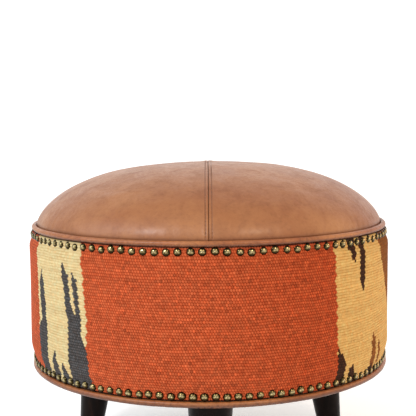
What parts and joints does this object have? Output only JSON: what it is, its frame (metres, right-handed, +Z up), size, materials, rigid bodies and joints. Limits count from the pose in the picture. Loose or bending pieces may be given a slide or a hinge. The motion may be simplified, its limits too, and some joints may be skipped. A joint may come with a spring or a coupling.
{
  "type": "round upholstered footstool",
  "caption": "Round footstool: domed leather seat over a kilim band edged with nailheads and welts, on splayed screw-in legs.",
  "frame": {"origin": "on the floor, under the middle of the seat", "axes": "+Z up through the seat's crown; -Y towards the front leg; the seat's centre seam runs along Y"},
  "size_m": [0.5079, 0.508, 0.4304],
  "materials": {
    "tan_leather": "satin",
    "stitch_thread": "matte",
    "cotton": "matte",
    "wadding": "matte",
    "foam": "matte",
    "plywood": "matte",
    "softwood": "matte",
    "zinc_steel": "satin",
    "hardboard": "matte",
    "tack_card": "matte",
    "kilim": "matte",
    "antique_brass": "satin",
    "welt_leather": "satin",
    "dust_cloth": "matte",
    "felt": "matte",
    "dark_leg": "gloss",
    "glide_plastic": "matte"
  },
  "bodies": {
    "root": {"cover_left": "tan_leather", "cover_right": "tan_leather", "topstitch_left": "stitch_thread", "topstitch_right": "stitch_thread", "seam_tape": "cotton", "seat_wadding": "wadding", "seat_foam": "foam", "side_padding": "foam", "deck_board": "plywood", "base_board": "plywood", "post_1": "softwood", "post_2": "softwood", "post_3": "softwood", "post_4": "softwood", "post_5": "softwood", "post_6": "softwood", "deck_screws": "zinc_steel", "base_screws": "zinc_steel", "cover_staples": "zinc_steel", "dust_cover_staples": "zinc_steel", "side_panel": "hardboard", "tack_strip": "tack_card", "kilim_band": "kilim", "top_nails": "antique_brass", "bottom_nails": "antique_brass", "top_welt_cover": "welt_leather", "bottom_welt_cover": "welt_leather", "top_welt_cord": "cotton", "bottom_welt_cord": "cotton", "dust_cover": "dust_cloth", "wedge_front": "softwood", "tee_nut_front": "zinc_steel", "wedge_right": "softwood", "tee_nut_right": "zinc_steel", "wedge_left": "softwood", "tee_nut_left": "zinc_steel"},
    "washer_front": {"washer_front": "felt"},
    "leg_front": {"leg_front": "dark_leg", "bolt_front": "zinc_steel", "glide_front": "glide_plastic"},
    "washer_right": {"washer_right": "felt"},
    "leg_right": {"leg_right": "dark_leg", "bolt_right": "zinc_steel", "glide_right": "glide_plastic"},
    "washer_left": {"washer_left": "felt"},
    "leg_left": {"leg_left": "dark_leg", "bolt_left": "zinc_steel", "glide_left": "glide_plastic"}
  },
  "joints": [
    {"name": "leg_front_travel", "type": "slide", "parent": "root", "child": "washer_front", "axis": [0, -0.1564, -0.9877], "range_m": [0, 0.0126]},
    {"name": "leg_front_turn", "type": "hinge", "parent": "washer_front", "child": "leg_front", "pos_m": [0, -0.19608, 0.151], "axis": [0, -0.1564, -0.9877], "range_deg": [0, 3600]},
    {"name": "leg_right_travel", "type": "slide", "parent": "root", "child": "washer_right", "axis": [0.1355, 0.0782, -0.9877], "range_m": [0, 0.0126]},
    {"name": "leg_right_turn", "type": "hinge", "parent": "washer_right", "child": "leg_right", "pos_m": [0.16981, 0.09804, 0.151], "axis": [0.1355, 0.0782, -0.9877], "range_deg": [0, 3600]},
    {"name": "leg_left_travel", "type": "slide", "parent": "root", "child": "washer_left", "axis": [-0.1355, 0.0782, -0.9877], "range_m": [0, 0.0126]},
    {"name": "leg_left_turn", "type": "hinge", "parent": "washer_left", "child": "leg_left", "pos_m": [-0.16981, 0.09804, 0.151], "axis": [-0.1355, 0.0782, -0.9877], "range_deg": [0, 3600]}
  ],
  "couplings": [
    {"joint": "leg_front_travel", "follows": "leg_front_turn", "m_per_rad": 0.00019894},
    {"joint": "leg_right_travel", "follows": "leg_right_turn", "m_per_rad": 0.00019894},
    {"joint": "leg_left_travel", "follows": "leg_left_turn", "m_per_rad": 0.00019894}
  ]
}
